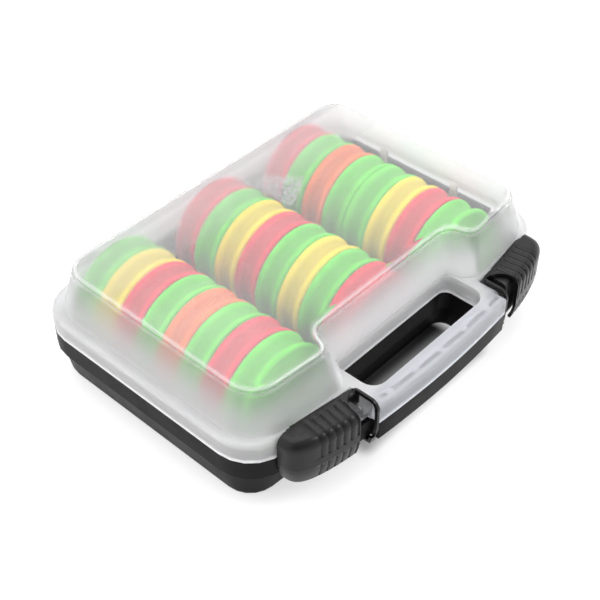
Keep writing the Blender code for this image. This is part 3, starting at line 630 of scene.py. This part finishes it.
def latch_shell(side):
    """The mesh of one latch, an outer and an inner skin joined at their rims, and its barrels."""
    mesh = bmesh.new()
    faces = []
    for thick in (0, latch_wall):
        rows = latch_rows(thick)
        columns, deep, window = latch_columns(rows)
        grid = []
        for column, groove in zip(columns, deep):
            line = []
            run = (column[0] - latch_axis).dot(latch_way)
            # Beside the lid's ears the shell goes only part of the way round the axis
            beside_inner_ear = inner_ear[0] < run < inner_ear[1]
            reach = 0.05 if run > outer_ear else 0.4 if beside_inner_ear else 1
            for at, (turn, _, _, height, lean, cut) in zip(column, rows):
                if turn:
                    radius = hinge_radius - min(thick, hinge_wall)
                    height = latch_axis_height + radius * math.cos(turn * reach)
                    at = at - latch_ahead * radius * math.sin(turn * reach)
                sunk = 0 if thick else groove * cut
                at = rounded_corner(at) - latch_ahead * sunk * math.sin(lean)
                line.append(mesh.verts.new((side * at.x, at.y, height - sunk * math.cos(lean))))
            grid.append(line)
        faces.append(grid)
    # The window leaves the hinge whole, and the foot and lip run on only as far as the band
    hinge_rows, foot_rows, lip_rows = 5, len(rows) - 7, len(rows) - 3
    cells = {
        (i, j)
        for i in range(len(columns) - 1)
        for j in range(len(rows) - 1)
        if i < window[0]
        or j < hinge_rows
        or (j < lip_rows and i not in window)
        or (j >= foot_rows and i < window[2])
    }
    outer, inner = faces
    for i, j in cells:
        corners = ((i, j), (i + 1, j), (i + 1, j + 1), (i, j + 1))
        for grid in (outer, inner):
            mesh.faces.new([grid[a][b] for a, b in corners])
        for turn, beside in enumerate(((i, j - 1), (i + 1, j), (i, j + 1), (i - 1, j))):
            if beside not in cells:
                (a, b), (c, d) = corners[turn], corners[(turn + 1) % 4]
                mesh.faces.new((outer[a][b], outer[c][d], inner[c][d], inner[a][b]))
    loose = [vert for vert in mesh.verts if not vert.link_faces]
    bmesh.ops.delete(mesh, geom=loose, context="VERTS")
    way = Vector((side * latch_way.x, latch_way.y, 0))
    turn = Vector((0, 0, 1)).rotation_difference(way).to_matrix().to_4x4()
    axis_start = Vector((side * latch_axis.x, latch_axis.y, latch_axis_height))
    for start, end in barrels:
        middle = axis_start + way * (start + end) / 2
        bmesh.ops.create_cone(
            mesh,
            cap_ends=True,
            segments=32,
            radius1=barrel_radius,
            radius2=barrel_radius,
            depth=end - start,
            matrix=Matrix.Translation(middle) @ turn,
        )
    bmesh.ops.recalc_face_normals(mesh, faces=mesh.faces)
    return mesh


for side, name in ((-1, "left_latch"), (1, "right_latch")):
    shell = finished(f"{name}_shell", latch_shell(side), latch_black, 50, name)
    rounding = shell.modifiers.new("rounded_edges", "BEVEL")
    rounding.width = 0.0003
    rounding.segments = 2
    rounding.limit_method = "ANGLE"
    rounding.angle_limit = math.radians(50)
    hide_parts(name)


# The hinge pins: two lengths of plain drawn steel wire, pressed into the tray's knuckles.
# The lid turns on them.
def steel(name):
    made = Finish(name)
    spot, *_ = made.place()
    drawn = made.grain(spot, 900, 2, 0.5, (0.05, 1, 1))
    return made.finish(
        made.add(
            "BsdfPrincipled",
            None,
            Base_Color=made.blend(drawn, (0.50, 0.50, 0.51, 1), (0.62, 0.62, 0.63, 1)),
            Metallic=1.0,
            Roughness=made.ramp(drawn, 0.2, 0.8, 0.24, 0.36),
        )
    )


pin_steel = steel("pin_steel")
for node in ("hinge_pin_left", "hinge_pin_right"):
    for held in bpy.data.objects[node].material_slots:
        held.material = pin_steel


# The bag of rig pins: a small clear film bag, welded at its edges, that sags into the
# valley between two rows of winders. Its crumpled film holds a few dark steel pins.
bag_middle = Vector((0.0355, 0.0635))
bag_turn = Matrix.Rotation(math.radians(20), 2)
bag_wide, bag_long, bag_thick = 0.0274, 0.0314, 0.0042
bag_weld = 0.00012
bag_over_foam = 0.0011
bag_rest = 0.014
half_pitch = 0.039
row_axis_height = 0.035


def film():
    made = Finish("bag_film")
    spot, *_ = made.place()
    crease = made.grain(spot, 420, 3, 0.6)
    return made.finish(
        made.add(
            "BsdfPrincipled",
            None,
            Base_Color=(0.80, 0.82, 0.84, 1),
            Roughness=0.16,
            Alpha=made.ramp(crease, 0.40, 0.66, 0.10, 0.42),
            Normal=made.bump(crease, 0.0005),
        )
    )


def valley(x):
    """How high the middle of the bag lies over the valley between two rows."""
    radius = winder_radius + bag_over_foam
    off = abs(x - half_pitch)
    away = half_pitch - bag_rest
    slope = away / math.sqrt(radius**2 - away**2)
    height = row_axis_height + math.sqrt(radius**2 - (half_pitch - max(off, bag_rest)) ** 2)
    return height - slope * (bag_rest**2 - min(off, bag_rest) ** 2) / (2 * bag_rest)


def bag_point(u, v, side):
    """A point on the bag, u across it and v along it from -1 to 1, on its upper or lower film."""
    at = bag_middle + bag_turn @ Vector((u * bag_wide / 2, v * bag_long / 2))
    swell = bag_thick / 2 * math.sqrt(max(1 - u * u, 0) * max(1 - v * v, 0))
    swell = max(swell - 0.0005 * max(abs(u), abs(v)) ** 8, bag_weld)
    folds = math.sin(9 * u + 5 * v * v) * math.sin(7 * v - 4 * u)
    folds += 0.6 * math.sin(15 * v + 11 * u * u)
    return Vector((at.x, at.y, valley(at.x) + side * swell * (1 + 0.16 * folds)))


bag_mesh = bmesh.new()
bag_steps = 26
bag_shares = [2 * step / bag_steps - 1 for step in range(bag_steps + 1)]
bag_films = [
    [[bag_mesh.verts.new(bag_point(u, v, side)) for u in bag_shares] for v in bag_shares]
    for side in (-1, 1)
]
for film_rows in bag_films:
    for near, far in zip(film_rows, film_rows[1:]):
        for i in range(bag_steps):
            bag_mesh.faces.new((near[i], near[i + 1], far[i + 1], far[i]))
bag_rims = [edge for edge in bag_mesh.edges if edge.is_boundary]
bmesh.ops.bridge_loops(bag_mesh, edges=bag_rims)
bmesh.ops.recalc_face_normals(bag_mesh, faces=bag_mesh.faces)
bag = finished("bag", bag_mesh, film(), 60)
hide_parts("pin_bag")

# Each pin is a tapered shaft with a small round eye at its thick end
pin_eye = 0.0009
eye_wire = 0.00025
on_edge = Matrix.Rotation(math.radians(90), 4, "X")
bag_pins = bmesh.new()
for u, v, lean, length in (
    (-0.42, -0.05, 8, 0.021),
    (-0.22, 0.16, -14, 0.019),
    (-0.02, -0.12, 5, 0.022),
    (0.14, 0.10, 22, 0.018),
    (0.30, -0.08, -9, 0.021),
    (0.46, 0.12, 12, 0.018),
):
    way = bag_turn @ Matrix.Rotation(math.radians(lean), 2) @ Vector((0, 1))
    middle = bag_point(u, v, 0)
    ends = []
    for end in (-1, 1):
        tip = middle.to_2d() + way * end * length / 2
        ends.append(Vector((tip.x, tip.y, valley(tip.x))))
    shaft = ends[1] - ends[0]
    turn = Vector((0, 0, 1)).rotation_difference(shaft).to_matrix().to_4x4()
    bmesh.ops.create_cone(
        bag_pins,
        cap_ends=True,
        segments=10,
        radius1=0.0004,
        radius2=0.0002,
        depth=shaft.length,
        matrix=Matrix.Translation((ends[0] + ends[1]) / 2) @ turn,
    )
    wire = bmesh.ops.create_circle(
        bag_pins, segments=8, radius=eye_wire, matrix=Matrix.Translation((pin_eye, 0, 0)) @ on_edge
    )["verts"]
    bmesh.ops.spin(
        bag_pins,
        geom=wire + [edge for edge in bag_pins.edges if edge.verts[0] in wire],
        cent=(0, 0, 0),
        axis=(0, 0, 1),
        angle=math.tau,
        steps=14,
        use_merge=True,
    )
    bmesh.ops.transform(
        bag_pins,
        matrix=Matrix.Translation(ends[0] - shaft.normalized() * pin_eye) @ turn @ on_edge,
        verts=[vert for vert in bag_pins.verts if vert.co.length < 2 * pin_eye],
    )
bmesh.ops.recalc_face_normals(bag_pins, faces=bag_pins.faces)
finished("rig_pins", bag_pins, black_plastic("pin_dark", 0.3, 0.5), 40)
